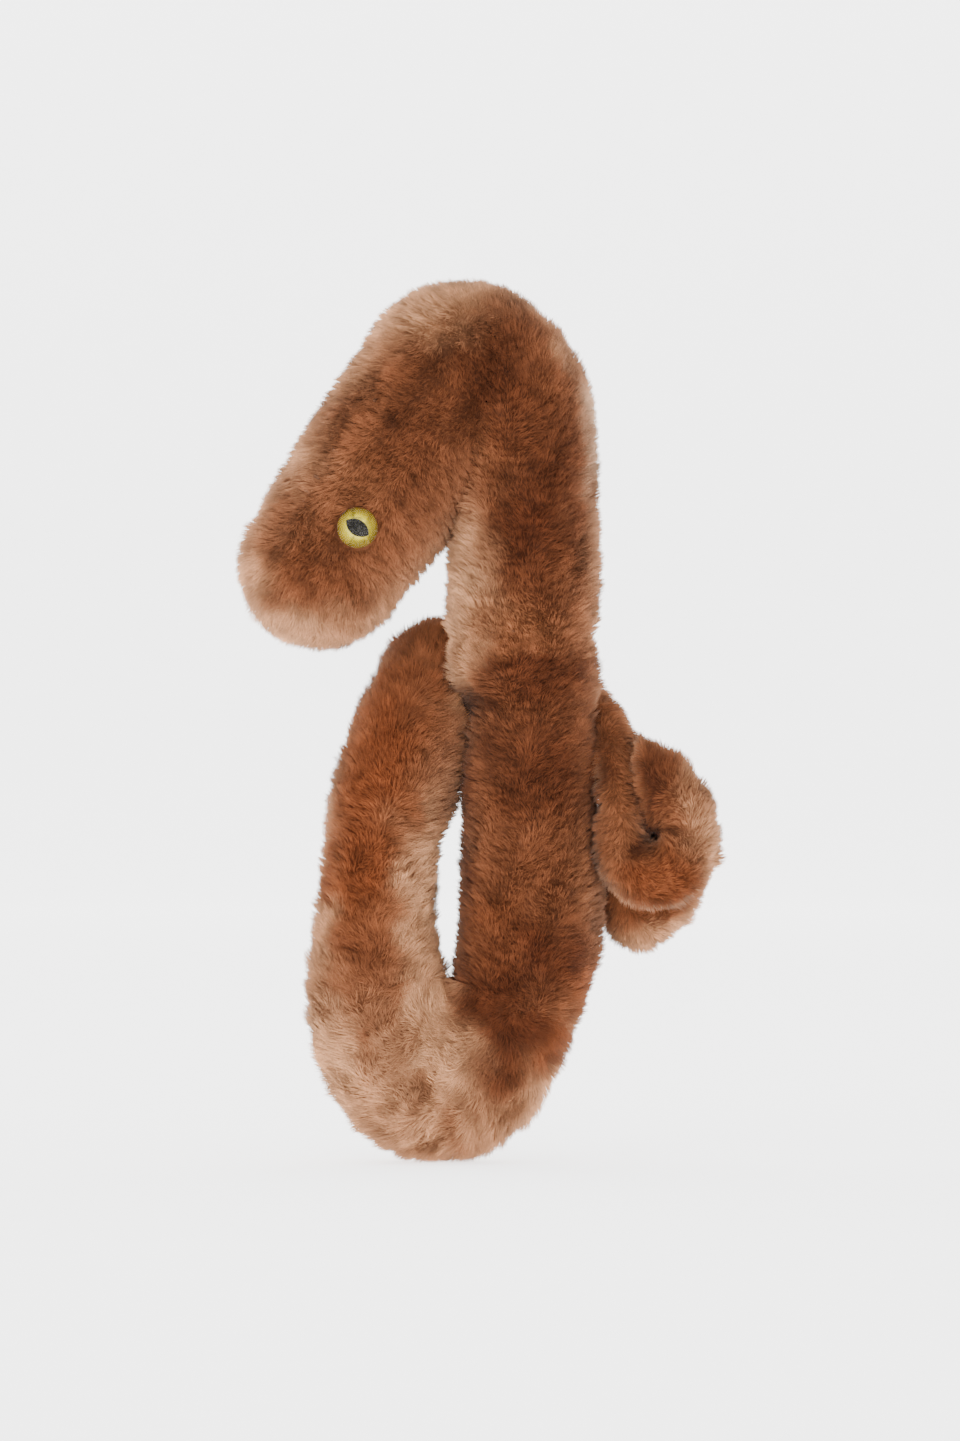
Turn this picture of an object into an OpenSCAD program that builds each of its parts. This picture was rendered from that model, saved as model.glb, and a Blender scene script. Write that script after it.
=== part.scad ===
// Crook-shaped plush microbe toy: one long stuffed tube of pile fabric.
// The tube runs from the head over the crown, down the neck and column, round the
// foot, up the loop, behind the column, and ends in a curled tail.
// Front is -Y, up is +Z. The origin is on the small flat that the toy stands on.

/* [Head] */
// Distance from the crown's centre to the centre of the rounded tip
head_len = 46.5; // [40:0.5:56]
// How far the head leans away from straight down, in degrees
head_lean = 35; // [28:1:42]
// Radius of the crown, seen from the front
crown_r = 18.6; // [15.5:0.1:22.4]
// Radius of the rounded tip
tip_r = 16.4; // [13:0.1:18]
// Half the head's thickness from front to back
head_depth = 17; // [14:0.1:20]
// Crown centre, sideways from the standing point
crown_x = 5; // [3:0.5:7]
// Height of the crown's centre
crown_z = 157.4; // [150:0.2:165]

/* [Eyes] */
// Diameter of each eye
eye_d = 8; // [6.5:0.1:9.6]
// Distance of the eyes from the crown's centre, along the head
eye_along = 36.4; // [30:0.2:40]
// Distance of the eyes from the head's middle line, towards the neck
eye_side = 2; // [0:0.2:4]
// Height of the clear dome above its disc
eye_dome_h = 1.7; // [1:0.1:2.2]
// Thickness of the coloured disc
iris_t = 1.2; // [1:0.1:2]
// Length of the almond pupil
pupil_l = 5.4; // [3.5:0.1:6]
// Width of the almond pupil
pupil_w = 3.2; // [2:0.1:4]
// Turn of the pupil against level, in degrees
pupil_turn = 33; // [0:1:60]
// Diameter of the stem behind the disc
stem_d = 2.6; // [2:0.1:3.5]
// Length of the stem
stem_l = 7; // [6:0.5:9]
// Diameter of the washer inside the head
washer_d = 9; // [7:0.5:11]
// Thickness of the washer
washer_t = 1; // [0.8:0.1:1.4]

/* [Neck] */
// Radius of the neck
neck_r = 15.2; // [12.6:0.1:17]
// Height of the seam between the neck and the column
waist_z = 104.4; // [100:0.2:108]

/* [Column] */
// Middle line of the column, sideways from the standing point
column_x = 20; // [18:0.5:22]
// Radius of the column
column_r = 13.8; // [11.5:0.1:15]
// Radius of the column at its upper seam
waist_r = 15.4; // [14:0.1:16.5]
// Height of the ball that ends the column
foot_z = 35.4; // [33:0.2:38]

/* [Loop] */
// Radius of the loop's side
loop_r = 11.9; // [9.9:0.1:12.6]
// Gap between the loop and the column
slot_w = 4.6; // [4.4:0.1:8]
// Half the width of the foot, where the tube folds round
foot_r = 18.5; // [15.4:0.1:20]
// Half the foot's thickness from front to back
foot_depth = 14; // [12:0.1:16]
// Radius of the tube where it enters and leaves the foot
side_r = 13.6; // [12.8:0.1:15]
// Depth of the flat that the toy stands on
flat_cut = 0.5; // [0.3:0.1:0.6]

/* [Crossing] */
// Height of the loop's upper end, where it goes behind the column
cross_z = 99.6; // [97:0.2:103]
// Distance of the loop's upper end behind the toy's middle plane
cross_y = 10; // [9:0.5:13]
// Radius of the loop's upper end
cross_r = 9.2; // [8:0.1:10]
// Radius of the tube behind the column
bridge_r = 8.8; // [7.5:0.1:10]

/* [Tail] */
// Radius of the ball that the curl hangs on
knuckle_r = 6.6; // [5.4:0.1:7.9]
// Height of that ball
knuckle_z = 80.4; // [78:0.2:83]
// Half the width of the curled tube, seen from the front
curl_r = 4.8; // [4:0.1:5.8]
// Half the thickness of each layer of the curl
curl_depth = 6.4; // [5.3:0.1:7.7]
// Half the width of the curl's middle line, front layer
curl_w = 6.7; // [6:0.1:8]
// Half the height of the curl's middle line, front layer
curl_h = 12.2; // [10.5:0.1:14.6]

/* [Fabric] */
// Thickness of the pile fabric
skin_t = 2.4; // [1.8:0.1:3]
// Clearance between parts that turn against each other
joint_gap = 0.5; // [0.4:0.1:0.8]
// Clearance between the column and the loop, which swings past it
swing_gap = 2.2; // [2:0.1:2.8]
// Clearance between pieces that stay together
fill_gap = 0.1; // [0.05:0.05:0.2]
// Diameter of the sewing thread
thread_d = 0.8; // [0.6:0.1:1]

/* [Hidden] */

HALF_SIDES = 8;      // flat faces round half a tube
CORE_SIDES = 12;     // flat faces round a filling
CURL_SIDES = 6;      // flat faces round half of the curled tube
DOME_RINGS = 3;      // rings that round off a closed end
PER_SPAN = 2;        // rings from one station to the next
FOOT_RINGS = 12;     // rings of the foot
FOOT_STEP = 16;      // degrees from one ring of the foot to the next
FOOT_START = 14;     // degrees below level where the foot starts, on the column's side
FOOT_LOW = 5;        // the foot's lowest ring
LOOP_SPLIT = 4;      // ring where the loop's two lengths meet
POLE = 86;           // angle of a dome's last ring, which leaves a pin hole
FINE = 48;           // facets asked for on true round surfaces
FAR = 60;            // reach of a cutting block
LINING = 0.6;        // how much further back a filling is cut than its skin
FACET_GAP = 0.4;     // what keeps a filling clear of the fabric's flat faces
TAPER_STEPS = 3;     // steps of the space kept clear where the column widens

pile = "sienna";
pile_light = "peru";
filling = "linen";

// Places that several pieces share
head_dir = [-sin(head_lean), 0, -cos(head_lean)];
head_side = [cos(head_lean), 0, -sin(head_lean)];
crown = [crown_x, 0, crown_z];
tip = crown + head_len * head_dir;
loop_x = column_x - column_r - slot_w - loop_r;
foot_ball = [column_x - 2, 0, foot_z];
waist_x = column_x - 1.6;
waist_ball = [waist_x, 0, waist_z - 4.6];
loop_end = [waist_x - waist_r - 2.6, cross_y, cross_z];
knuckle = [column_x + column_r + 1.6, 0, knuckle_z];
crease_gap = 0.8;
foot_reach = 2 * foot_r + crease_gap;
foot_low = FOOT_START + FOOT_LOW * FOOT_STEP;
crease = [-foot_reach * cos(foot_low), 0, foot_reach * sin(foot_low) - flat_cut];
foot_join_z = crease[2] - 2.6;
bridge_depth = bridge_r - 2;
behind_y = waist_r + bridge_depth + fill_gap;

// The curl has two layers that touch near the middle plane, each an oval turn
coil_y = -curl_depth + 0.3;
tail_y = curl_depth + 0.7;
// The curl hangs beside the column, and further out on a bigger ball
curl_out = max(3.4, 1.3 * knuckle_r - 5.2);
coil_mid = [knuckle[0] + curl_w + curl_out, coil_y, knuckle_z - curl_h - 1];
tail_mid = [coil_mid[0] + 0.9, tail_y, coil_mid[2] - 5.2];
tail_w = curl_w + 0.5;
tail_h = curl_h + 2.2;
core_inset = skin_t + fill_gap + FACET_GAP;
taper_z = waist_z - 14;

// A station is [x, y, z, half width seen from the front, half depth]
function station(p, a, b) = [p[0], p[1], p[2], a, b];
function oval(mid, w, h, turn, a, b) =
    [mid[0] - w * cos(turn), mid[1], mid[2] - h * sin(turn), a, b];

head_route = [
    station(crown, crown_r, head_depth),
    station((crown + tip) / 2, (crown_r + tip_r) / 2 + 0.8, head_depth),
    station(tip, tip_r, head_depth - 1.2)
];
neck_route = [
    [waist_x, 0, waist_ball[2] - 2, neck_r, neck_r],
    [waist_x + 0.2, 0, waist_z + 18, neck_r, neck_r],
    [waist_x + 0.2, 0, crown_z - 16, neck_r - 0.8, neck_r],
    [waist_x - 2.6, 0, crown_z - 6.4, neck_r - 0.8, neck_r - 0.4],
    [waist_x - 6.8, 0, crown_z - 1.4, neck_r - 0.6, neck_r - 1]
];
column_route = [
    station(foot_ball, column_r, column_r),
    [column_x - 0.6, 0, foot_z + 11, column_r, column_r],
    [column_x, 0, (foot_z + waist_z) / 2, column_r, column_r],
    [column_x, 0, taper_z, column_r, column_r],
    station(waist_ball, waist_r, waist_r)
];
loop_route = [
    [loop_x - 1, 0, foot_join_z - 5, side_r + 0.2, side_r],
    [loop_x - 0.7, 0, foot_join_z + 7, loop_r + 1.2, loop_r + 1.2],
    [loop_x, 0, foot_join_z + 21, loop_r, loop_r],
    [loop_x + 1.6, 0, cross_z - 27, loop_r - 0.6, loop_r],
    [loop_x + 5.6, cross_y * 0.2, cross_z - 12, cross_r + 1.2, cross_r + 1.2],
    station(loop_end, cross_r, cross_r)
];
bridge_route = [
    station(loop_end, bridge_r, bridge_depth),
    [waist_x - 8.4, behind_y - 1.6, cross_z + 0.4, bridge_r, bridge_depth],
    [column_x, behind_y - 0.8, cross_z - 1.6, bridge_r, bridge_depth],
    [column_x + 8.5, behind_y - 6.8, cross_z - 9.6, bridge_r - 0.8, bridge_depth],
    station(knuckle, knuckle_r, knuckle_r)
];
// The front layer starts on the front of the ball that it hangs on
coil_route = concat(
    [station(knuckle + [0.4, coil_y + 1.8, -0.6], knuckle_r - 0.6, curl_depth - 2)],
    [for (turn = [-10:26:250])
        oval(coil_mid, curl_w, curl_h, turn, curl_r + 0.9 * max(0, sin(turn)), curl_depth)]
);
tail_route = [for (turn = [296:30:596])
    oval(tail_mid, tail_w, tail_h, turn, curl_r + 0.4 * max(0, sin(turn)), curl_depth)];

// A Catmull-Rom curve through the stations, so the tube swells and tapers smoothly.
// It has a number of rings to each span between stations.
function unit(v) = v / norm(v);
function place(s) = [s[0], s[1], s[2]];
function at_least(s, i) = s[max(i, 0)];
function at_most(s, i) = s[min(i, len(s) - 1)];
function curve(a, b, c, d, t) = 0.5 * (
    2 * b + (c - a) * t + (2 * a - 5 * b + 4 * c - d) * t * t
    + (3 * b - a - 3 * c + d) * t * t * t
);
function smooth(s, spans) = [
    for (i = [0:len(s) - 2], j = [0:spans - 1])
        curve(at_least(s, i - 1), s[i], s[i + 1], at_most(s, i + 2), j / spans),
    s[len(s) - 1]
];
function heading(s, i) = unit(place(at_most(s, i + 1)) - place(at_least(s, i - 1)));

// A ring is [centre, sideways, backwards, half width, half depth]
function ring(s, i, inset) =
    let (along = heading(s, i), side = unit(cross([0, 1, 0], along)))
    [place(s[i]), side, cross(along, side), s[i][3] - inset, s[i][4] - inset];
function dome(last, out) = [
    for (k = [1:DOME_RINGS])
        let (rise = POLE * k / DOME_RINGS)
        [
            last[0] + out * last[3] * sin(rise), last[1], last[2],
            last[3] * cos(rise), last[4] * cos(rise)
        ]
];
function reversed(v) = [for (i = [len(v) - 1:-1:0]) v[i]];

// All rings of a tube, whose ends are round where closed_start or closed_end says so
function tube_rings(route, inset, closed_start, closed_end, spans = PER_SPAN) =
    let (s = smooth(route, spans), n = len(s) - 1, rings = [for (i = [0:n]) ring(s, i, inset)])
    concat(
        closed_start ? reversed(dome(rings[0], -heading(s, 0))) : [],
        rings,
        closed_end ? dome(rings[n], heading(s, n)) : []
    );
function part_of(rings, first, last) = [for (i = [first:last]) rings[i]];

// The foot's rings fan out from the crease under the slot, fattest at the bottom
function foot_rings(inset) = [
    for (k = [0:FOOT_RINGS - 1])
        let (
            turn = FOOT_START + k * FOOT_STEP,
            out = [cos(turn), 0, -sin(turn)],
            swell = pow(sin(90 * k / FOOT_LOW), 2),
            half = side_r + (foot_r - side_r) * swell
        )
        [
            crease + (half + crease_gap) * out, -out, [0, 1, 0],
            half - inset, side_r + (foot_depth - side_r) * swell - inset
        ]
];
function rim_point(r, angle, facing) =
    r[0] + r[3] * cos(angle) * r[1] + facing * r[4] * sin(angle) * r[2];
function two_faces(a, b, c, d) = [[a, b, c], [b, d, c]];

// One half of the sewn skin: facing is -1 for the front panel and 1 for the back one
module panel(outer, inner, facing, sides = HALF_SIDES) {
    rows = len(outer);
    row = sides + 1;
    lining = rows * row;
    points = [
        for (rings = [outer, inner], r = rings, j = [0:sides])
            rim_point(r, 180 * j / sides, facing)
    ];
    walls = [
        for (i = [0:rows - 2], j = [0:sides - 1])
            let (a = i * row + j, b = a + row)
            each concat(
                two_faces(a, b, a + 1, b + 1),
                two_faces(lining + a, lining + a + 1, lining + b, lining + b + 1)
            )
    ];
    seams = [
        for (i = [0:rows - 2])
            let (a = i * row, b = a + row, c = a + sides, d = c + row)
            each concat(
                two_faces(a, lining + a, b, lining + b),
                two_faces(c, d, lining + c, lining + d)
            )
    ];
    rims = [
        for (j = [0:sides - 1])
            let (z = (rows - 1) * row + j)
            each concat(
                two_faces(j, j + 1, lining + j, lining + j + 1),
                two_faces(z, lining + z, z + 1, lining + z + 1)
            )
    ];
    faces = concat(walls, seams, rims);
    polyhedron(points, facing > 0 ? faces : [for (f = faces) reversed(f)]);
}

// The filling inside a tube, a closed solid
module core(rings, n = CORE_SIDES) {
    rows = len(rings);
    points = concat(
        [for (r = rings, j = [0:n - 1]) rim_point(r, 360 * j / n, 1)],
        [rings[0][0], rings[rows - 1][0]]
    );
    walls = [
        for (i = [0:rows - 2], j = [0:n - 1])
            let (k = (j + 1) % n)
            each two_faces(i * n + j, (i + 1) * n + j, i * n + k, (i + 1) * n + k)
    ];
    last = (rows - 1) * n;
    ends = [
        for (j = [0:n - 1])
            let (k = (j + 1) % n)
            each [[rows * n, j, k], [rows * n + 1, last + k, last + j]]
    ];
    polyhedron(points, concat(walls, ends));
}

// Spaces that a piece is kept out of
module head_space(gap) {
    translate(crown) {
        sphere(r = crown_r + gap, $fn = FINE);
        rotate([0, 180 + head_lean, 0])
            cylinder(h = head_len, r = crown_r + gap, $fn = FINE);
    }
}
module ball_space(p, r) {
    translate(p) sphere(r = r, $fn = FINE);
}
module column_space(gap) {
    translate([column_x, 0, foot_z - 1])
        cylinder(h = taper_z - foot_z + 1, r = column_r + gap, $fn = FINE);
    step = (waist_ball[2] - taper_z) / TAPER_STEPS;
    for (k = [1:TAPER_STEPS])
        let (part = k / TAPER_STEPS, last = k == TAPER_STEPS ? FAR / 3 : 0)
        translate([column_x + part * (waist_x - column_x), 0, taper_z + (k - 1) * step])
            cylinder(h = step + last, r = column_r + part * (waist_r - column_r) + gap, $fn = FINE);
}
module loop_space(gap) {
    from = place(loop_route[len(loop_route) - 2]);
    way = loop_end - from;
    translate(from) rotate([0, acos(way[2] / norm(way)), atan2(way[1], way[0])])
        cylinder(h = norm(way), r = cross_r + 1.2 + gap, $fn = FINE);
}

// Head: a fat straight tube with two round ends
eye_at = crown + eye_along * head_dir + eye_side * head_side;
eye_seat_y = -(head_depth - 1.5);
washer_y = eye_seat_y + 3;
module eye_frame() {
    translate([eye_at[0], eye_seat_y, eye_at[2]]) rotate([90, 0, 0]) children();
}
module eye_hole() {
    eye_frame() {
        cylinder(h = FAR, d = eye_d + 2 * fill_gap, $fn = FINE);
        translate([0, 0, -stem_l]) cylinder(h = FAR, d = stem_d + 2 * fill_gap, $fn = FINE);
    }
}
module eye_pocket() {
    eye_frame() {
        translate([0, 0, -(washer_y - eye_seat_y) - washer_t - fill_gap])
            cylinder(h = FAR, d = washer_d + 2 * fill_gap, $fn = FINE);
        translate([0, 0, -stem_l - fill_gap])
            cylinder(h = stem_l, d = stem_d + 2 * fill_gap, $fn = FINE);
    }
}
function head_rings(inset) = tube_rings(head_route, inset, true, true);
module head_front_panel() {
    color(pile) difference() {
        panel(head_rings(0), head_rings(skin_t), -1);
        eye_hole();
    }
}
module head_back_panel() {
    color(pile) difference() {
        panel(head_rings(0), head_rings(skin_t), 1);
        mirror([0, 1, 0]) eye_hole();
    }
}
module head_stuffing() {
    color(filling) difference() {
        core(head_rings(core_inset));
        eye_pocket();
        mirror([0, 1, 0]) eye_pocket();
    }
}

// Eyes: a clear dome on a coloured disc with a stem, held by a washer inside
module almond(l, w, h) {
    r = (l * l + w * w) / (4 * w);
    rotate([0, 0, -pupil_turn]) intersection() {
        translate([0, r - w / 2, 0]) cylinder(h = h, r = r, $fn = FINE);
        translate([0, w / 2 - r, 0]) cylinder(h = h, r = r, $fn = FINE);
    }
}
pupil_t = iris_t / 3;
module eye_dome() {
    r = (eye_d * eye_d / 4 + eye_dome_h * eye_dome_h) / (2 * eye_dome_h);
    color("azure") eye_frame() translate([0, 0, iris_t]) intersection() {
        translate([0, 0, eye_dome_h - r]) sphere(r = r, $fn = FINE);
        cylinder(h = eye_dome_h + 1, d = eye_d, $fn = FINE);
    }
}
module eye_iris() {
    color("gold") eye_frame() difference() {
        union() {
            cylinder(h = iris_t, d = eye_d, $fn = FINE);
            translate([0, 0, -stem_l]) cylinder(h = stem_l, d = stem_d, $fn = FINE);
        }
        translate([0, 0, iris_t - pupil_t]) almond(pupil_l, pupil_w, iris_t);
    }
}
module eye_pupil() {
    color("black") eye_frame() translate([0, 0, iris_t - pupil_t])
        almond(pupil_l - fill_gap, pupil_w - fill_gap, pupil_t);
}
module eye_washer() {
    color("white") eye_frame() translate([0, 0, eye_seat_y - washer_y - washer_t])
        difference() {
            cylinder(h = washer_t, d = washer_d, $fn = FINE);
            translate([0, 0, -1])
                cylinder(h = washer_t + 2, d = stem_d + fill_gap, $fn = FINE);
        }
}
module front_eye_dome() { eye_dome(); }
module front_eye_iris() { eye_iris(); }
module front_eye_pupil() { eye_pupil(); }
module front_eye_washer() { eye_washer(); }
module back_eye_dome() { mirror([0, 1, 0]) eye_dome(); }
module back_eye_iris() { mirror([0, 1, 0]) eye_iris(); }
module back_eye_pupil() { mirror([0, 1, 0]) eye_pupil(); }
module back_eye_washer() { mirror([0, 1, 0]) eye_washer(); }

// Neck: sits on the column's round top and is hollowed where the head rests on it
function neck_rings(inset) = tube_rings(neck_route, inset, false, false);
module neck_cuts(extra) {
    head_space(joint_gap + extra);
    ball_space(waist_ball, waist_r + joint_gap + extra);
}
module neck_panel(facing) {
    color(pile) difference() {
        panel(neck_rings(0), neck_rings(skin_t), facing);
        neck_cuts(0);
    }
}
module neck_front_panel() { neck_panel(-1); }
module neck_back_panel() { neck_panel(1); }
module neck_stuffing() {
    color(filling) difference() {
        core(neck_rings(core_inset));
        neck_cuts(LINING);
    }
}

// Column: a straight tube with a ball at each end
function column_rings(inset) = tube_rings(column_route, inset, true, true, 1);
module column_panel(facing) {
    color(pile) panel(column_rings(0), column_rings(skin_t), facing);
}
module column_front_panel() { column_panel(-1); }
module column_back_panel() { column_panel(1); }
module column_stuffing() { color(filling) core(column_rings(core_inset)); }

// Foot: the fat fold that the toy stands on, hollowed where the column's ball sits
module foot_cuts(extra) {
    ball_space(foot_ball, column_r + joint_gap + extra);
    column_space(swing_gap + extra);
    translate([-FAR, -FAR, foot_join_z - fill_gap])
        cube([FAR + foot_ball[0] - column_r, 2 * FAR, FAR]);
    translate([-FAR, -FAR, -FAR]) cube([2 * FAR, 2 * FAR, FAR]);
}
module foot_panel(facing) {
    color(pile_light) difference() {
        panel(foot_rings(0), foot_rings(skin_t), facing);
        foot_cuts(0);
    }
}
module foot_front_panel() { foot_panel(-1); }
module foot_back_panel() { foot_panel(1); }
module foot_stuffing() {
    color(filling) difference() {
        core(foot_rings(core_inset));
        foot_cuts(LINING);
    }
}

// Loop: the tube that climbs beside the column, in two lengths
function loop_rings(inset) = tube_rings(loop_route, inset, false, true);
function lower_loop(inset) = part_of(loop_rings(inset), 0, LOOP_SPLIT);
function upper_loop(inset) =
    let (rings = loop_rings(inset)) part_of(rings, LOOP_SPLIT, len(rings) - 1);
module loop_lower_cuts() {
    translate([-FAR, -FAR, foot_join_z - FAR]) cube([2 * FAR, 2 * FAR, FAR]);
}
module loop_lower_panel(facing) {
    color(pile_light) difference() {
        panel(lower_loop(0), lower_loop(skin_t), facing);
        loop_lower_cuts();
    }
}
module loop_lower_front_panel() { loop_lower_panel(-1); }
module loop_lower_back_panel() { loop_lower_panel(1); }
module loop_lower_stuffing() {
    color(filling) difference() {
        core(lower_loop(core_inset));
        loop_lower_cuts();
    }
}
module loop_upper_panel(facing) {
    color(pile) difference() {
        panel(upper_loop(0), upper_loop(skin_t), facing);
        column_space(swing_gap);
    }
}
module loop_upper_front_panel() { loop_upper_panel(-1); }
module loop_upper_back_panel() { loop_upper_panel(1); }
module loop_upper_stuffing() {
    color(filling) difference() {
        core(upper_loop(core_inset));
        column_space(swing_gap + LINING);
    }
}

// Bridge: carries on from the loop, passes behind the column, and ends in a ball
function bridge_rings(inset) = tube_rings(bridge_route, inset, false, true);
module bridge_cuts(extra) {
    ball_space(loop_end, cross_r + joint_gap + extra);
    loop_space(joint_gap + extra);
    column_space(fill_gap + extra);
    translate([waist_x, 0, waist_z - 2])
        cylinder(h = 24, r = waist_r + swing_gap + extra, $fn = FINE);
}
module bridge_panel(facing) {
    color(pile) difference() {
        panel(bridge_rings(0), bridge_rings(skin_t), facing);
        bridge_cuts(0);
    }
}
module bridge_front_panel() { bridge_panel(-1); }
module bridge_back_panel() { bridge_panel(1); }
module bridge_stuffing() {
    color(filling) difference() {
        core(bridge_rings(core_inset));
        bridge_cuts(LINING);
    }
}

// Curl: one turn in front, which hangs on the bridge's ball, and one behind it
function coil_rings(inset) = tube_rings(coil_route, inset, false, true, 1);
module coil_cuts(extra) {
    ball_space(knuckle, knuckle_r + joint_gap + extra);
    column_space(swing_gap + extra);
}
module coil_panel(facing) {
    color(pile) difference() {
        panel(coil_rings(0), coil_rings(skin_t), facing, CURL_SIDES);
        coil_cuts(0);
    }
}
module coil_front_panel() { coil_panel(-1); }
module coil_back_panel() { coil_panel(1); }
module coil_stuffing() {
    color(filling) difference() {
        core(coil_rings(core_inset), CURL_SIDES + 2);
        coil_cuts(LINING);
    }
}
function tail_rings(inset) = tube_rings(tail_route, inset, true, true, 1);
module tail_panel(facing) {
    color(pile) panel(tail_rings(0), tail_rings(skin_t), facing, CURL_SIDES);
}
module tail_front_panel() { tail_panel(-1); }
module tail_back_panel() { tail_panel(1); }
module tail_stuffing() { color(filling) core(tail_rings(core_inset), CURL_SIDES + 2); }

// Threads
WAIST_STITCHES = 20;
CLOSING_STITCHES = 11;
module thread(l) {
    cylinder(h = l, d = thread_d, center = true, $fn = FINE);
}
module waist_stitches() {
    r = neck_r + thread_d / 2 + fill_gap;
    color("saddlebrown") for (i = [0:WAIST_STITCHES - 1])
        translate([waist_x, 0, waist_z + 2.4]) rotate([0, 0, 360 * (i + 0.5) / WAIST_STITCHES])
            translate([r, 0, 0]) rotate([25, 0, 0]) thread(2.4);
}
module crossing_tack() {
    r = column_r + thread_d / 2 + fill_gap;
    color("saddlebrown") for (i = [-1:1])
        translate([column_x, 0, taper_z - 2.4 + 1.4 * i]) rotate([0, 0, 230])
            translate([r, 0, 0]) rotate([70 - 20 * i, 0, 0]) thread(2.6);
}
// The stuffing hole's closing seam runs along the head, this many degrees round from the
// side seam towards the front
CLOSING_TURN = 50;
module closing_stitches() {
    first = 4;
    pitch = 3.2;
    lift = thread_d / 2 + fill_gap;
    color("saddlebrown") translate(crown) rotate([0, head_lean, 0])
        for (i = [0:CLOSING_STITCHES - 1])
            translate([
                -(crown_r + lift) * cos(CLOSING_TURN), -(head_depth + lift) * sin(CLOSING_TURN),
                -first - pitch * i
            ]) rotate([90, 0, CLOSING_TURN]) thread(2);
}

head_front_panel();
head_back_panel();
head_stuffing();
front_eye_dome();
front_eye_iris();
front_eye_pupil();
front_eye_washer();
back_eye_dome();
back_eye_iris();
back_eye_pupil();
back_eye_washer();
neck_front_panel();
neck_back_panel();
neck_stuffing();
column_front_panel();
column_back_panel();
column_stuffing();
foot_front_panel();
foot_back_panel();
foot_stuffing();
loop_lower_front_panel();
loop_lower_back_panel();
loop_lower_stuffing();
loop_upper_front_panel();
loop_upper_back_panel();
loop_upper_stuffing();
bridge_front_panel();
bridge_back_panel();
bridge_stuffing();
coil_front_panel();
coil_back_panel();
coil_stuffing();
tail_front_panel();
tail_back_panel();
tail_stuffing();
waist_stitches();
crossing_tack();
closing_stitches();
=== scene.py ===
"""Looks of the plush microbe toy: pile fabric, stuffing, thread, plastic eyes, studio.

Lengths inside the functions are in millimetres, as in the part's source, and meshes are
written in metres. A tube is a chain of rings; each ring is a centre, a sideways and a
backwards direction, half a width, half a depth and the direction along the tube.
"""
import math

import bpy
import numpy as np
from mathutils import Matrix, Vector


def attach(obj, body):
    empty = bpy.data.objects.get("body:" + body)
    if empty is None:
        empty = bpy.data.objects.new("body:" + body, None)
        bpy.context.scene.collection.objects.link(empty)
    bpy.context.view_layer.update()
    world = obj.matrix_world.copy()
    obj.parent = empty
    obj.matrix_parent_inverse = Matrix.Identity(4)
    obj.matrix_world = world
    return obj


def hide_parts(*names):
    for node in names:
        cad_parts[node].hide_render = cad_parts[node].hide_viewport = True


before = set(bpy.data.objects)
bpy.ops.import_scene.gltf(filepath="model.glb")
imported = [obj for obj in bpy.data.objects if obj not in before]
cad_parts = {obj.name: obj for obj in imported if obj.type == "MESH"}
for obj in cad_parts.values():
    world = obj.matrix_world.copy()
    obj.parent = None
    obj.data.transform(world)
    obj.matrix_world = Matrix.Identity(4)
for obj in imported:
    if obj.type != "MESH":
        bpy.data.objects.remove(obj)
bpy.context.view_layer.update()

MM = 0.001
COLUMNS = 79            # points round a tube, with the first one twice
HALF = 40               # points across one sewn half
POINTS_A_SPAN = 24      # points that a smooth curve has between two stations
FEWEST_RINGS = 6        # of a short tube
DOME_RINGS = 16         # rings that close a round end
NEARLY_SHUT = 89.3      # how far round the last ring of a round end lies, in degrees
FAR_OFF = 99.0          # clearance where there is no neighbour


# Tubes

def smooth_stations(stations, step):
    """A smooth curve through the stations, resampled so that rings are about step apart.

    Each span is a cubic; its slope at a station is half the way between the neighbours."""
    s = np.array(stations, float)
    p = np.vstack([2 * s[0] - s[1], s, 2 * s[-1] - s[-2]])
    t = np.linspace(0, 1, POINTS_A_SPAN, endpoint=False)[:, None]
    parts = []
    for i in range(len(s) - 1):
        a, b, c, d = p[i], p[i + 1], p[i + 2], p[i + 3]
        parts.append(0.5 * (2 * b + (c - a) * t + (2 * a - 5 * b + 4 * c - d) * t ** 2
                            + (3 * b - a - 3 * c + d) * t ** 3))
    dense = np.vstack(parts + [s[-1:]])
    run = np.concatenate([[0], np.cumsum(np.linalg.norm(np.diff(dense[:, :3], axis=0), axis=1))])
    at = np.linspace(0, run[-1], max(FEWEST_RINGS, int(run[-1] / step)))
    return np.stack([np.interp(at, run, dense[:, k]) for k in range(5)], 1)


def unit(v):
    """Vectors made one long."""
    return v / np.maximum(np.linalg.norm(v, axis=-1, keepdims=True), 1e-9)


def tube(stations, step=1.0, round_start=0.0, round_end=0.0):
    """Rings along a smooth curve, square to it and upright from front to back."""
    s = smooth_stations(stations, step)
    along = unit(np.gradient(s[:, :3], axis=0))
    side = unit(np.cross([0.0, 1.0, 0.0], along))
    back = np.cross(along, side)
    return rounded([s[:, :3], side, back, s[:, 3], s[:, 4], along], round_start, round_end)


def rounded(rings, start, end):
    """Round ends: each reaches out by its share of half the tube's width."""
    if start:
        rings = [np.concatenate([d[::-1], r]) for d, r in zip(dome(rings, 0, -start), rings)]
    if end:
        rings = [np.concatenate([r, d]) for d, r in zip(dome(rings, -1, end), rings)]
    return rings


def dome(rings, i, out):
    """Rings of a round end: centre goes out as a sine, radii shrink as a cosine."""
    rise = np.radians(np.linspace(0, NEARLY_SHUT, DOME_RINGS + 1)[1:])
    c, side, back, a, b, along = [r[i] for r in rings]
    n = len(rise)
    return [c + out * along * a * np.sin(rise)[:, None], np.tile(side, (n, 1)),
            np.tile(back, (n, 1)), a * np.cos(rise), b * np.cos(rise), np.tile(along, (n, 1))]


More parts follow.
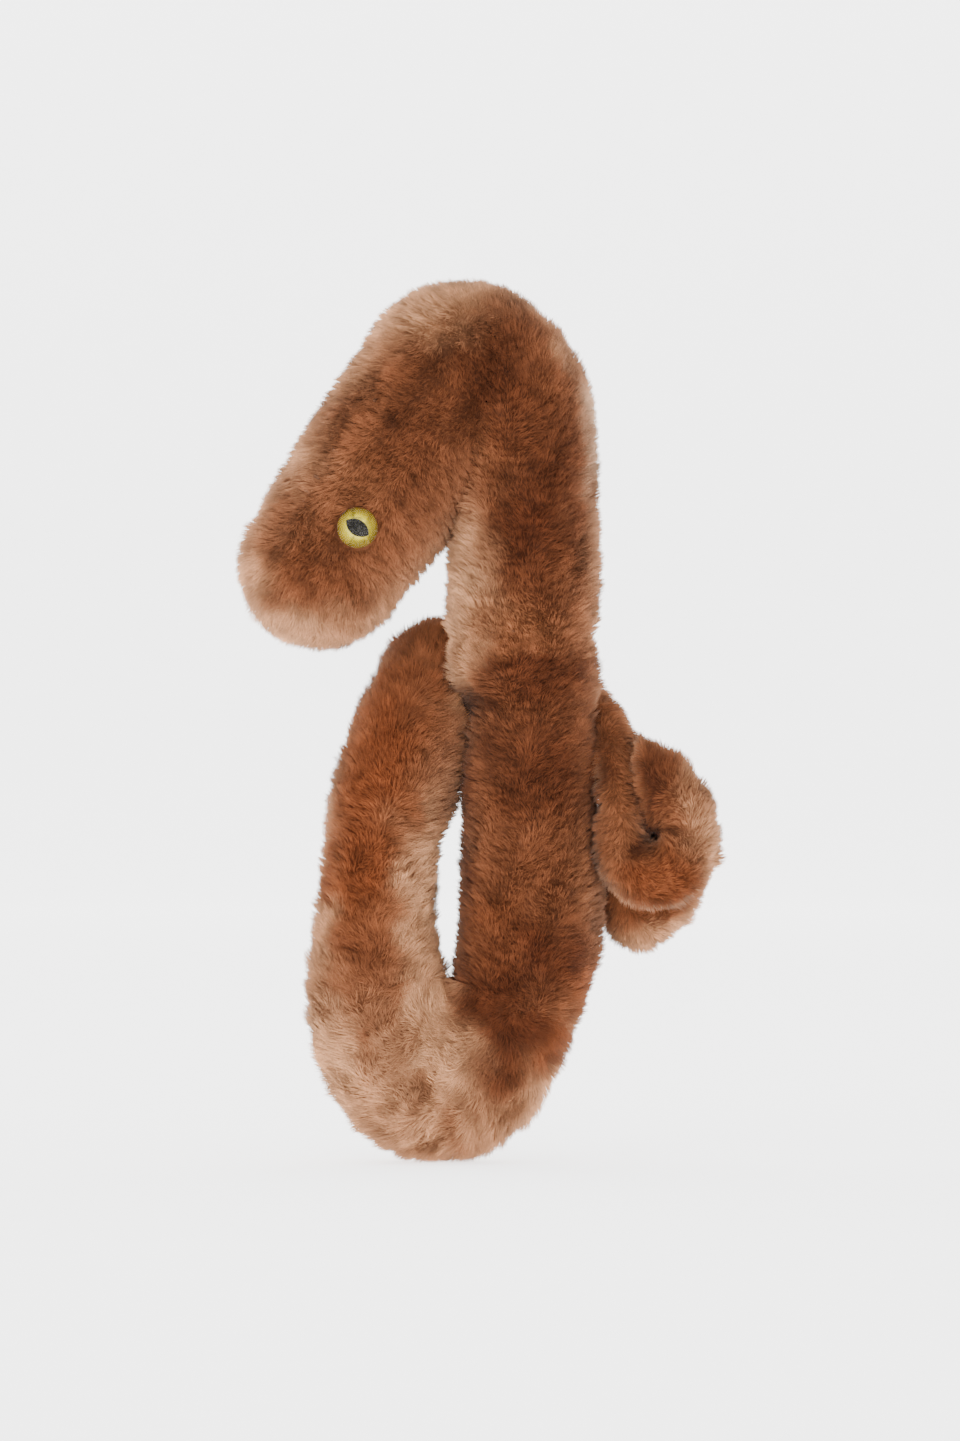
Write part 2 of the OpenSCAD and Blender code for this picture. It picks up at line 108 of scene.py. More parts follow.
def wall(rings, angles, inset=0.0):
    """Points of the tube's wall: centre + half width * cosine * side + half depth * sine * back.

    The wall is moved in by inset along both radii, never past the middle line."""
    c, side, back, a, b, _ = rings
    a = np.maximum(a - inset, 0.02 * a + 0.01)[:, None, None]
    b = np.maximum(b - inset, 0.02 * b + 0.01)[:, None, None]
    return (c[:, None] + a * np.cos(angles)[None, :, None] * side[:, None]
            + b * np.sin(angles)[None, :, None] * back[:, None])


def waves(p, scale, seed, count=7):
    """Smooth noise from -1 to 1: a mean of sines with random directions and wavelengths."""
    r = np.random.default_rng(seed)
    k = unit(r.normal(size=(count, 3))) * (2 * math.pi / scale) * r.uniform(0.6, 1.6, (count, 1))
    return np.sin(p @ k.T + r.uniform(0, 6.28, count)).mean(-1) * 1.9


def outline(rings):
    """Outline points and outward normals; the first and last columns are one line.

    A normal is the cross product of the way round the ring and the way along the tube."""
    p = wall(rings, np.linspace(0, 2 * math.pi, COLUMNS))
    q = np.concatenate([p[:, -2:-1], p, p[:, 1:2]], axis=1)
    return p, unit(np.cross(q[:, 2:] - q[:, :-2], np.gradient(p, axis=0)))


def reach(p, a, b, r, flat=1.0):
    """Distance of points from a round-ended rod, and the way away from it.

    flat stretches the depth, so that the rod is thinner from front to back."""
    axis = b - a
    t = np.clip((p - a) @ axis / max(axis @ axis, 1e-9), 0, 1)
    q = (p - a - t[..., None] * axis) * [1, flat, 1]
    return np.linalg.norm(q, axis=-1) - r, unit(q)


def clearance(p, spaces):
    """Least distance of points from the neighbours' spaces, negative inside them."""
    if not spaces:
        return np.full(p.shape[:-1], FAR_OFF)
    return np.min([reach(p, *s)[0] for s in spaces], axis=0)


def pushed_out(p, spaces, depth):
    """Points deeper than depth in a neighbour's space move out to that depth."""
    for s in spaces:
        d, way = reach(p, *s)
        p = p + np.maximum(-depth - d, 0)[..., None] * way
    return p


# Meshes

def mesh_object(name, points, tris, colours=None, tips=None):
    """A mesh object in metres from points in millimetres.

    It can have a colour at each point, and the point's height along its lock."""
    me = bpy.data.meshes.new(name)
    n, f = len(points), len(tris)
    me.vertices.add(n)
    me.vertices.foreach_set("co", (points * MM).astype(np.float32).ravel())
    me.loops.add(3 * f)
    me.loops.foreach_set("vertex_index", tris.astype(np.int32).ravel())
    me.polygons.add(f)
    me.polygons.foreach_set("loop_start", np.arange(0, 3 * f, 3, dtype=np.int32))
    me.polygons.foreach_set("use_smooth", np.ones(f, bool))
    me.update(calc_edges=True)
    if colours is not None:
        rgba = np.ones((n, 4), np.float32)
        rgba[:, :3] = colours
        layer = me.attributes.new("pile_colour", "FLOAT_COLOR", "POINT")
        layer.data.foreach_set("color", rgba.ravel())
    if tips is not None:
        layer = me.attributes.new("pile_tip", "FLOAT", "POINT")
        layer.data.foreach_set("value", tips.astype(np.float32))
    ob = bpy.data.objects.new(name, me)
    bpy.context.scene.collection.objects.link(ob)
    return ob


def shell(outer, inner, kept):
    """A closed shell between two grids of the same size, over the kept cells.

    Each edge that only one outer triangle has gets a rim down to the inner grid. Returns
    the points, the triangles, each point's place on its grid, and 1 outside or -1 inside."""
    m, k, _ = outer.shape
    i, j = np.nonzero(kept)
    a = i * k + j
    b, c, d = a + k, a + 1, a + k + 1
    top = np.concatenate([np.stack([a, c, b], 1), np.stack([c, d, b], 1)])
    edges = np.concatenate([top[:, [0, 1]], top[:, [1, 2]], top[:, [2, 0]]])
    n = m * k
    free = edges[~np.isin(edges[:, 0] * n + edges[:, 1], edges[:, 1] * n + edges[:, 0])]
    u, v = free.T
    rim = np.concatenate([np.stack([v, u, u + n], 1), np.stack([v, u + n, v + n], 1)])
    tris = np.concatenate([top, top[:, ::-1] + n, rim])
    used, tris = np.unique(tris, return_inverse=True)
    pts = np.concatenate([outer.reshape(-1, 3), inner.reshape(-1, 3)])[used]
    return pts, tris.reshape(-1, 3), used % n, np.where(used < n, 1.0, -1.0)


def solid_tube(rings, inset, bent):
    """The filling: the outline moved in, closed with a point in the middle of each end.

    A sharply bent tube is moved in within the plane of each ring, so that the rings
    stay apart on the inner side of the bend."""
    p, n = outline(rings)
    p = wall(rings, np.linspace(0, 2 * math.pi, COLUMNS), inset) if bent else p - inset * n
    p = p[:, :-1:3]
    m, sides, _ = p.shape
    i, j = np.meshgrid(np.arange(m - 1), np.arange(sides), indexing="ij")
    a, c = (i * sides + j).ravel(), (i * sides + (j + 1) % sides).ravel()
    b, d = a + sides, c + sides
    k = np.arange(sides)
    far = (m - 1) * sides
    first, last = np.full(sides, m * sides), np.full(sides, m * sides + 1)
    tris = np.concatenate([np.stack([a, c, b], 1), np.stack([c, d, b], 1),
                           np.stack([first, (k + 1) % sides, k], 1),
                           np.stack([last, k + far, (k + 1) % sides + far], 1)])
    return np.concatenate([p.reshape(-1, 3), [p[0].mean(0), p[-1].mean(0)]]), tris


def scatter(grid, count, rng):
    """Random places on a grid of points, as many per square millimetre everywhere.

    Returns the cell indices, the fractions inside the cell, and the grid's area."""
    du = np.linalg.norm(np.diff(grid, axis=0), axis=2)
    dv = np.linalg.norm(np.diff(grid, axis=1), axis=2)
    area = 0.25 * (du[:, :-1] + du[:, 1:]) * (dv[:-1] + dv[1:])
    run = np.cumsum(area.ravel())
    pick = np.searchsorted(run, np.sort(rng.uniform(0, run[-1], count)))
    i, j = np.unravel_index(np.minimum(pick, area.size - 1), area.shape)
    return i, j, rng.uniform(0, 1, count), rng.uniform(0, 1, count), run[-1]


def between(grid, i, j, u, v):
    """Bilinear value of a grid at a place inside a cell."""
    u, v = u[:, None], v[:, None]
    return ((grid[i, j] * (1 - u) + grid[i + 1, j] * u) * (1 - v)
            + (grid[i, j + 1] * (1 - u) + grid[i + 1, j + 1] * u) * v)


def clump_pull(flat, cell, shift):
    """For places on the flattened fabric, the way to the nearest clump's middle and its tone.

    Clump middles are jittered points of a square grid of the given cell. The jitter is the
    fraction left of a large sine of the cell's number, and so is the tone, from 0 to 1."""
    base = np.floor(flat / cell)
    best = np.full(len(flat), 1e9)
    way = np.zeros_like(flat)
    tone = np.zeros(len(flat))
    for di in (-1, 0, 1):
        for dj in (-1, 0, 1):
            q = base + [di, dj]
            h = np.sin(q @ [127.1, 311.7] + shift) * 43758.5453
            g = np.sin(q @ [269.5, 183.3] + shift) * 24634.6345
            jit = np.stack([h - np.floor(h), g - np.floor(g)], 1)
            d = (q + jit) * cell - flat
            r = (d ** 2).sum(1)
            near = r < best
            best = np.where(near, r, best)
            way[near] = d[near]
            tone[near] = jit[near, 0]
    return way, tone


# Paint

def srgb(r, g, b):
    """Linear colour of a paint named by its 0 to 255 screen values."""
    c = np.array([r, g, b], float) / 255
    return np.where(c < 0.04045, c / 12.92, ((c + 0.055) / 1.055) ** 2.4)


DARK = srgb(84, 42, 22)
BROWN = srgb(127, 76, 48)
WARM = srgb(132, 69, 36)
MID = srgb(152, 96, 62)
TAN = srgb(210, 154, 112)
# Cream, used only for painted rim light, partly paler pile at the edge
RIM_LIGHT_CREAM = srgb(238, 202, 166)
# Near-black brown, used only as painted shade in dents, folds and grooves
PAINTED_SHADE = srgb(54, 25, 12)

# A brush is a soft oval patch of pile colour, some of them painted shade and painted highlights as
# marked: x, z, half width, half height, colour, strength
# The two tan patches on the crown's top are a painted highlight along its top rim
CROWN_BRUSHES = [(14, 157, 13, 12, DARK, .78), (24, 158, 5, 9, BROWN, .5),
                 (-3, 171, 12, 7, TAN, .85), (8, 175, 9, 3, TAN, .5)]
BRUSHES = {
    "head": CROWN_BRUSHES + [
        (-5, 145, 9, 13, DARK, .5), (-20, 118, 9, 8, BROWN, .7), (-15, 136, 8, 9, MID, .3),
        # The tan patches on this line and the next are painted rim light along the head's outer
        # edge, its lower edge and the tip's end, partly paler pile there
        (-19, 160, 9, 8, TAN, .6), (-27, 146, 7, 13, TAN, .55), (-22, 150, 3, 8, BROWN, .4),
        (-29, 107, 13, 4.5, TAN, .6), (-9, 110, 6, 7, TAN, .3), (-36, 122, 5, 12, TAN, .6),
        # The five small marks from here on are painted shade in the dents of the closing seam's
        # puckers
        (-17, 147, 1.8, 3, BROWN, .6), (-21, 142, 1.6, 3, DARK, .3), (-25, 137, 1.6, 3, DARK, .3),
        (-28, 131, 2, 4, BROWN, .6), (-31, 124, 2, 4, BROWN, .5), (-20, 118, 8, 7, DARK, .45)],
    "neck": CROWN_BRUSHES + [
        # These three dark patches are the painted shadow of the head on the neck, beside and below
        # its edge
        (20, 127, 11, 14, DARK, .95), (26, 140, 8, 10, DARK, .5), (17, 147, 8, 8, DARK, .4),
        # The tan strip that ends this line runs down the neck's left edge, and the cream strip and
        # tan spot on the next line run along its right edge and top: painted rim light, partly
        # paler pile at the edges
        (16, 116, 8, 7, DARK, .5), (14, 107, 11, 4, MID, .6), (5.5, 115, 6, 14, TAN, .95),
        (10, 141, 4, 4, MID, .4), (34.5, 147, 3.8, 17, RIM_LIGHT_CREAM, .5), (28, 164, 3, 5, TAN, .5)],
    "column": [(21, 99, 12, 9, DARK, .95), (22, 78, 12, 13, DARK, .85), (19, 56, 12, 12, DARK, .3),
               # The two dark patches that end this line are partly painted shade of the fold where
               # the column turns into the foot, partly darker pile nap
               (12, 47, 6, 8, WARM, .4), (24, 41, 10, 8, DARK, .95), (13, 34, 8, 7, DARK, .95),
               # The long dark strip that ends this line is painted shade down the column's left
               # edge, in the slot beside the loop
               (31, 33, 4, 6, WARM, .7), (31, 55, 3, 12, MID, .5), (7, 64, 3.5, 26, DARK, .85),
               # The near-black spot that ends this line and the strip that starts the next are
               # painted shade in the tack's dent and down its fold
               (6.5, 103, 5, 4, TAN, .8), (6, 97, 4, 3, TAN, .6), (8.8, 91.5, 4, 3.6, PAINTED_SHADE, .95),
               (12.5, 84, 1.8, 7, PAINTED_SHADE, .6), (18, 101.5, 9, 2.2, MID, .4)],
    "loop": [(-4, 98, 9, 9, BROWN, .8), (-9, 82, 8, 13, WARM, .95), (-14, 58, 8, 15, WARM, .85),
             (-2, 52, 5, 19, TAN, .9), (-14, 37, 9, 8, BROWN, .75), (-18, 19, 11, 12, TAN, .9),
             # The dark patch that ends this line and the two that start the next are partly painted
             # shade of the fold where the column turns into the foot, partly darker pile nap
             (0, 8, 16, 9, TAN, .7), (2, 25, 7, 12, TAN, .95), (19, 28, 10, 8, DARK, .95),
             (9.5, 33, 7, 6, DARK, .95), (13.5, 23, 5, 6, DARK, .95), (28, 26, 4, 7, WARM, .7),
             (27, 12, 9, 7, TAN, .9), (4, 70, 3, 9, MID, .35), (4.5, 91, 3, 4, TAN, .5),
             (-23, 50, 4, 22, TAN, .6), (-3, 13, 2.4, 5, DARK, .7), (-11, 24, 2.4, 6, BROWN, .8),
             (6, 8, 2.4, 4, BROWN, .7), (-14.5, 41, 5, 2.5, DARK, .5), (-7, 86, 8, 13, DARK, .4),
             (-12, 62, 6, 14, DARK, .3), (-14, 33, 7, 6, DARK, .25), (5, 21, 5, 6, TAN, .6)],
    "bridge": [(33, 90, 6, 6, MID, .7)],
    # The curl's first three patches are painted shade: in the groove between the left limb and the
    # lobe, in the middle dimple, and in the groove against the column
    "curl": [(43, 75, 2.6, 8, PAINTED_SHADE, .75), (44.6, 65.2, 3, 3, PAINTED_SHADE, .95), (34, 70, 2, 14, DARK, .8),
             # The paler strip that starts this line is a painted highlight along the left limb's
             # edge
             (38.4, 70, 2.6, 12, MID, .6), (46, 56, 9, 5, WARM, .7), (53, 68, 4, 12, TAN, .4),
             # The dark patch that starts this line is painted shade where the spiral's inner end
             # meets the right limb
             (46, 77, 4, 6, DARK, .55), (38, 71, 3, 9, DARK, .35), (46, 44.5, 14, 3.5, TAN, .6),
             (57.5, 60, 3, 10, TAN, .7)],
}
# How much painted rim light the pile gets where it turns away to the sides; partly also paler pile
# along the side seams
PAINTED_RIM_LIGHT = {"head": .85, "neck": .8, "column": .4, "loop": .8, "bridge": .5, "curl": .6}
BLUR = 2.2              # how far waves move a brush's edge about


def paint(part, p, normal):
    """Pile colour at points: brown, tan towards the side seams as painted rim light (partly paler
    pile at the seams), then the soft brushes, some of them painted shade and painted highlights.

    A brush's weight is exp(-(distance from its middle in half widths squared) ^ 1.3)."""
    # Painted rim light: paler where the surface faces sideways rather than to the front or back
    rim = PAINTED_RIM_LIGHT[part] * np.clip(1 - np.abs(normal[:, 1]), 0, 1)[:, None] ** 2.2
    c = BROWN * (1 - rim) + TAN * rim
    shift = BLUR * np.stack([waves(p, 11, 5), waves(p, 11, 6)], 1)
    for x, z, rx, rz, colour, strength in BRUSHES[part]:
        w = strength * np.exp(-(((p[:, 0] - x + shift[:, 0]) / rx) ** 2
                                + ((p[:, 2] - z + shift[:, 1]) / rz) ** 2) ** 1.3)
        c = c * (1 - w[:, None]) + colour * w[:, None]
    tone = 1 + 0.18 * waves(p, 6.5, 7) + 0.12 * waves(p, 2.6, 8)
    return c * tone[:, None]


# Pile

PILE_WIDTH = 0.125      # half the thickness of a fibre lock at its root
DENSITY = 11.0    # fibre locks to a square millimetre
FABRIC = 1.3            # thickness of the woven backing
SUNK = 0.62             # how deep the backing lies under the outline, as a share of the pile
SPIKE = np.array([[0, 2, 1], [0, 1, 3], [1, 2, 3], [2, 0, 3]])
SPIKE_UV = np.array([[.1, .1], [.5, .1], [.9, .1], [.5, .9]])
SOFT = 0.65             # how far a lock is shaded like the surface it stands on
CUT = 1.5               # how deep a section's fabric reaches into a neighbour's pile
ROOTS_IN = 2.6          # how deep in a neighbour's space locks still grow
DRAW = 0.6              # how far a lock's tip is drawn to the middle of its clump
LOWEST = 0.05           # no lock hangs below this height over the floor


def spikes(root, tip, nor, rng):
    """Closed three-sided spikes: a ring at the root and a point, with softened normals."""
    n = len(root)
    e1 = unit(np.cross(tip - root, rng.normal(size=(n, 3))))
    e2 = np.cross(unit(tip - root), e1)
    wide = (PILE_WIDTH * 1 * rng.uniform(0.7, 1.3, n))[:, None]
    third = 2 * math.pi / 3
    around = [math.cos(a) * e1 + math.sin(a) * e2 for a in (0, third, 2 * third)]
    pts = np.stack([root - 0.25 * nor + wide * w for w in around] + [tip], 1).reshape(-1, 3)
    shade = np.stack([unit(SOFT * nor + (1 - SOFT) * w) for w in around] + [nor], 1).reshape(-1, 3)
    return pts, (SPIKE[None] + 4 * np.arange(n)[:, None, None]).reshape(-1, 3), shade


def pile_on(part, skin, normal, flat, want, seed):
    """The pile of one panel: a lock leans off the fabric and its tip is drawn to its clump.

    Tip = root + height * (rise * normal + lean * lay) + the pull to the clump's middle."""
    rng = np.random.default_rng(seed)
    area = scatter(skin, 1, rng)[4]
    i, j, u, v, _ = scatter(skin, int(area * DENSITY), rng)
    root = between(skin, i, j, u, v)
    ok = want["keep"](root)
    i, j, u, v, root = i[ok], j[ok], u[ok], v[ok], root[ok]
    n = len(root)
    nor = unit(between(normal, i, j, u, v))
    along = unit(between(np.gradient(skin, axis=0), i, j, u, v) + 1e-6)
    across = np.cross(nor, along)
    way, tone = clump_pull(between(flat, i, j, u, v), want["clump"], seed)
    # The lay wanders along the fabric; the height changes from lock to lock and by clump
    turn = 1.1 * waves(root, 14, 40 + seed % 7) + rng.normal(0, 0.3, n)
    lay = np.cos(turn)[:, None] * along + np.sin(turn)[:, None] * across
    tall = want["pile"] * (0.95 + 0.2 * waves(root, 5, 31) + rng.normal(0, 0.1, n)
                           + 0.25 * (tone - 0.5))
    lean = want["lean"] * (1 + 0.3 * waves(root, 9, 41))
    pull = way[:, :1] * along + way[:, 1:] * across
    rise = np.sqrt(np.clip(1 - lean ** 2, 0.1, 1))[:, None]
    tall, lean = tall[:, None], lean[:, None]
    tip = root + tall * (rise * nor + lean * lay) + DRAW * pull
    pts, tris, shade = spikes(root, tip, nor, rng)
    pts[:, 2] = np.maximum(pts[:, 2], LOWEST)
    colour = paint(part, root, nor) * (1 + 0.3 * (tone - 0.5) + rng.normal(0, 0.08, n))[:, None]
    return pts, tris, np.repeat(colour, 4, 0), np.tile([0, 0, 0, 1.0], n), shade


def pelt(name, part, rings, facing, want, seed):
    """One sewn half of a section: a closed fabric shell and its pile, in one mesh.

    facing is -1 for the front panel and 1 for the back one. The fabric lies under the
    outline by most of the pile's height, and want["shape"] moves it, as at a pucker."""
    line, normal = outline(rings)
    lump = 0.3 * waves(line, 10, 3) + 0.15 * waves(line, 4.5, 4) + want["shape"](line)
    skin = line + normal * (lump - SUNK * want["pile"])[..., None]
    inner = skin - normal * FABRIC
    run = np.concatenate([[0], np.cumsum(np.linalg.norm(np.diff(rings[0], axis=0), axis=1))])
    turn = np.linspace(0, 2 * math.pi, COLUMNS) * float(np.median(rings[3]))
    flat = np.stack(np.broadcast_arrays(run[:, None], turn[None]), -1)
    half = slice(HALF - 1, None) if facing < 0 else slice(0, HALF)
    skin, inner, normal, flat = (x[:, half] for x in (skin, inner, normal, flat))
    room = clearance(skin, want["spaces"]) + CUT
    kept = np.maximum.reduce([room[:-1, :-1], room[1:, :-1], room[:-1, 1:], room[1:, 1:]]) > 0
    kept &= want["cells"](0.5 * (skin[:-1, :-1] + skin[1:, 1:]))
    pts, tris, used, way = shell(pushed_out(skin, want["spaces"], CUT),
                                 pushed_out(inner, want["spaces"], CUT), kept)
    colour = paint(part, pts, normal.reshape(-1, 3)[used])
    fur = pile_on(part, skin, normal, flat, want, seed)
    n = len(pts)
    ob = mesh_object(name, np.concatenate([pts, fur[0]]), np.concatenate([tris, fur[1] + n]),
                     np.concatenate([colour, fur[2]]), np.concatenate([np.zeros(n), fur[3]]))
    ob.data.normals_split_custom_set_from_vertices(
        np.concatenate([normal.reshape(-1, 3)[used] * way[:, None], fur[4]]))
    lay_out(ob, len(tris), len(fur[1]) // 4)
    return ob


def lay_out(ob, shell_tris, locks):
    """Bake map: fabric triangles in rows in the lower part, and a small cell for each lock."""
    uv = ob.data.uv_layers.new(name="OFBake")
    corner = np.array([[.1, .1], [.9, .1], [.1, .9]])
    at, size = grid_cells(shell_tris, 0, 0, 1, 0.35)
    low = at[:, None] + corner[None] * size
    at, size = grid_cells(locks, 0, 0.36, 1, 0.64)
    high = at[:, None, None] + SPIKE_UV[SPIKE][None] * size
    uv.data.foreach_set("uv", np.concatenate([low.reshape(-1, 2), high.reshape(-1, 2)])
                        .astype(np.float32).ravel())


def grid_cells(count, x0, y0, w, h):
    """Lower corners and size of equal cells that fill a rectangle row by row."""
    across = max(1, math.ceil(math.sqrt(count * w / h)))
    down = max(1, math.ceil(count / across))
    k = np.arange(count)
    size = np.array([w / across, h / down])
    return np.stack([x0 + (k % across) * size[0], y0 + (k // across) * size[1]], 1), size


# The toy's tubes

LEAN = math.radians(35)
HEAD_DIR = np.array([-math.sin(LEAN), 0, -math.cos(LEAN)])
HEAD_SIDE = np.array([math.cos(LEAN), 0, -math.sin(LEAN)])
HEAD_R, HEAD_DEPTH = 18.6, 17      # half the head's width and half its depth
CROWN = np.array([5.0, 0, 157.4])
TIP = CROWN + 46.5 * HEAD_DIR
EYE = CROWN + 36.4 * HEAD_DIR + 2.0 * HEAD_SIDE
FOOT_BALL = np.array([18.0, 0, 35.4])
WAIST = np.array([18.4, 0, 99.8])
LOOP_END = np.array([0.4, 10, 99.6])
KNUCKLE = np.array([35.4, 0, 80.4])
COIL_MID = np.array([44.6, -6.1, 65.2])
TAIL_MID = np.array([46.4, 7.1, 62.0])
CREASE = np.array([2.64, 0, 37.21])


def st(p, a, b):
    """Station at a point: half a width seen from the front, and half a depth."""
    return [p[0], p[1], p[2], a, b]


def oval(mid, w, h, turn, a, b):
    """Station on an upright oval, turned from its left end: down is a quarter turn on.

    The corner between left and down is fuller, the one between down and right is leaner."""
    t = math.radians(turn)
    full = 1 + (0.2 if math.sin(2 * t) > 0 else 0.09) * math.sin(2 * t) * (math.sin(t) > 0)
    return [mid[0] - full * w * math.cos(t), mid[1], mid[2] - full * h * math.sin(t), full * a, b]


def foot_stations():
    """Stations fanned round the crease, fattest at the bottom of the fold."""
    out = []
    for k in range(11):
        t = math.radians(14 + 16 * k)
        swell = math.sin(math.radians(18 * k)) ** 2
        a = 13.6 + 4.9 * swell
        c = CREASE + (a + 0.8) * np.array([math.cos(t), 0, -math.sin(t)])
        out.append(st(c, a, 13.6 + 0.4 * swell))
    return out


def fanned(rings, low, high, inwards, share):
    """Rings turned to face the middle line that they bend about, so they never cross.

    share is 0 where a ring keeps its own direction and 1 where it faces the line. No ring
    reaches past the line."""
    c, side, back, a, b, along = rings
    t = np.clip((c[:, 2] - low[2]) / max(high[2] - low[2], 1e-6), 0, 1)[:, None]
    reach_in = (low + (high - low) * t - c) * [1, 0, 1]
    turned = inwards * unit(reach_in)
    a = np.where(share > 0.99, np.minimum(a, np.linalg.norm(reach_in, axis=1) - 0.1), a)
    side = unit(side * (1 - share[:, None]) + turned * share[:, None])
    along = unit(np.cross(side, back))
    return [c, side, unit(np.cross(along, side)), a, b, along]


def foot_share(rings):
    """The foot faces its crease; the loop's left side above it does not."""
    c = rings[0]
    share = np.where(c[:, 0] > -2, 1.0, np.clip((44 - c[:, 2]) / 9, 0, 1))
    return share * (np.arange(len(c)) < len(c) * 0.75)


def coil_share(rings):
    """The left limb keeps its own direction; from its foot on, the rings face the middle."""
    z = rings[0][:, 2]
    past = np.arange(len(z)) > np.argmin(z)
    return np.where(past, 1.0, np.clip((74 - z) / 8, 0, 1))


def coil_stations():
    """The curl's front layer: down the left limb, then round the middle and over the top.

    Each station round the middle reaches from there to the outline's radius at its turn,
    which is in degrees from the right towards the top."""
    turn = np.linspace(190, 457, 14)
    far = np.interp(turn, [180, 227, 248, 275, 320, 332, 369, 425, 445, 458],
                    [12.0, 13.8, 14.4, 15.3, 14.3, 13.2, 12.9, 16.2, 19.3, 20.6])
    out = [[34.6, 1.5, 90.0, 4.6, 4.6], [36.5, -2.6, 83.5, 4.8, 5.0], [37.2, -5.2, 76.0, 4.7, 5.6],
           [38.0, -6.0, 70.0, 5.1, 6.2]]
    for t, r in zip(np.radians(turn), far):
        c = COIL_MID + 0.5 * r * np.array([math.cos(t), 0, math.sin(t)])
        out.append(st(c, 0.5 * r - 0.2, 6.4))
    return out


HEAD = tube([st(CROWN, HEAD_R, HEAD_DEPTH), st((CROWN + TIP) / 2, 18.3, HEAD_DEPTH),
             st(TIP, 16.6, 15.8)], 1.1, 1, 1)
NECK = tube([[18.4, 0, 100.5, 15.3, 15.3], [18.6, 0, 122.4, 15.2, 15.2],
             [18.6, 0, 140.4, 14.9, 15.3], [17.2, 0, 149.4, 15.6, 15.4],
             [13.6, 0, 155.4, 16.4, 15.2], [9.0, 0, 158.6, 17.1, 14.8],
             [3.5, 0, 159.2, 17.0, 14.0]], 1.1)
COLUMN = tube([st(FOOT_BALL, 13.8, 13.8), [19.4, 0, 46.4, 13.8, 13.8], [20, 0, 69.9, 13.8, 13.8],
               [20, 0, 90.4, 13.8, 13.8], st(WAIST, 15.4, 15.4)], 1.1, 1, 1)
LOOP = tube(foot_stations() + [[-11.0, 0, 41.6, 13.1, 13.1], [-10.3, 0, 55.6, 11.9, 11.9],
            [-8.7, 0, 72.6, 11.3, 11.9], [-4.7, 2, 87.6, 10.4, 10.4], st(LOOP_END, 9.2, 9.2)],
            1.1, 0, 1)
LOOP = fanned(LOOP, CREASE, CREASE, 1, foot_share(LOOP))
BRIDGE = tube([st(LOOP_END, 8.8, 6.8), [10.0, 20.7, 100, 8.8, 6.8], [20, 21.5, 98, 8.8, 6.8],
               [28.5, 15.5, 90, 8.4, 6.8], st(KNUCKLE, 7.6, 6.8)], 1.0, 0, 1)
COIL = tube(coil_stations(), 0.9)
COIL = rounded(fanned(COIL, COIL_MID, COIL_MID, -1, coil_share(COIL)), 0, 0.36)
TAIL = tube([oval(TAIL_MID, 6.2, 12.6, t, 6.1, 6.4) for t in range(290, 611, 20)], 0.9)
TAIL = rounded(fanned(TAIL, TAIL_MID - [0, 0, 6.4], TAIL_MID + [0, 0, 6.4], -1,
                      np.ones(len(TAIL[0]))), 0.5, 0.5)


# Dents, seams and creases

def groove(p, path, wide, deep):
    """Depth below the outline near a bent line: deep * exp(-(distance / wide) squared)."""
    least = np.full(p.shape[:-1], 1e9)
    for a, b in zip(path[:-1], path[1:]):
        least = np.minimum(least, reach(p, np.array(a, float), np.array(b, float), 0)[0])
    return -deep * np.exp(-(least / wide) ** 2)


def dimples(p, places, wide, deep):
    """Round dents at places."""
    return sum(groove(p, [q, q], wide, deep) for q in places)


def on_head(along, turn):
    """Point of the head's outline: turn is in degrees from the outer side towards the front."""
    t = math.radians(turn)
    out = HEAD_R * math.cos(t) * HEAD_SIDE + np.array([0, HEAD_DEPTH * math.sin(t), 0])
    return CROWN + along * HEAD_DIR - out


CLOSING = [on_head(a, t) for a, t in ((0, 46), (7, 44), (14, 60), (20, 50), (26, 46), (31, 50),
                                      (38, 46), (45, 52))]
PUCKERS = [CLOSING[k] for k in (1, 2, 4, 5, 6)]


def head_shape(p):
    """The puckered closing seam, and a shallow dent round each eye."""
    front, back = [EYE + [0, -16, 0]], [EYE + [0, 16, 0]]
    return (groove(p, CLOSING, 1.8, 1.1) + dimples(p, PUCKERS, 2.4, 1.4)
            + dimples(p, front, 5.5, 0.7) + dimples(p, back, 5.5, 0.7))


def waist_ring(p):
    """The seam round the waist, a narrow groove at one height, with a notch on the right."""
    return (-0.8 * np.exp(-((p[..., 2] - 104.4) / 1.4) ** 2)
            + dimples(p, [np.array([32.5, -5, 107.5])], 2.5, 1.4))


def column_shape(p):
    """The waist, a deep dent at the tack with its fold, and a slight bulge on the right."""
    tack = [np.array([8.2, -6.5, 92.6])]
    fold = [[9.5, -9.5, 91], [12.5, -12, 84], [13.2, -12.5, 77]]
    return (waist_ring(p) + dimples(p, tack, 4.2, 3.4) + groove(p, fold, 1.6, 1.1)
            + groove(p, [[34, 0, 43], [34, 0, 56]], 5, -1.6))


def loop_shape(p):
    """Creases on the foot, a bulge that touches the column, and fuller cloth in the crease."""
    return (groove(p, [[-8, -13, 22], [-14, -14, 23]], 1.8, 0.9)
            + groove(p, [[0, -13.5, 12], [-3, -13, 18]], 1.8, 0.9)
            + groove(p, [[3, -13, 33], [1, -13.5, 24]], 3, 1.2)
            + groove(p, [[3.4, 0, 72], [5.5, 0, 86]], 5.5, -3.6)
            + 2.2 * np.exp(-(np.hypot(p[..., 0] - CREASE[0], p[..., 2] - CREASE[2]) / 4.5) ** 2))


def curl_shape(p):
    """Slight lumps, and a fuller corner where the back layer meets the column."""
    return 0.4 * waves(p, 6, 9) + groove(p, [[37, 7, 48], [36, 7, 55]], 5, -1.5) * (p[..., 1] > 0.5)


def plain(p):
    """No dents."""
    return np.zeros(p.shape[:-1])


# Sections

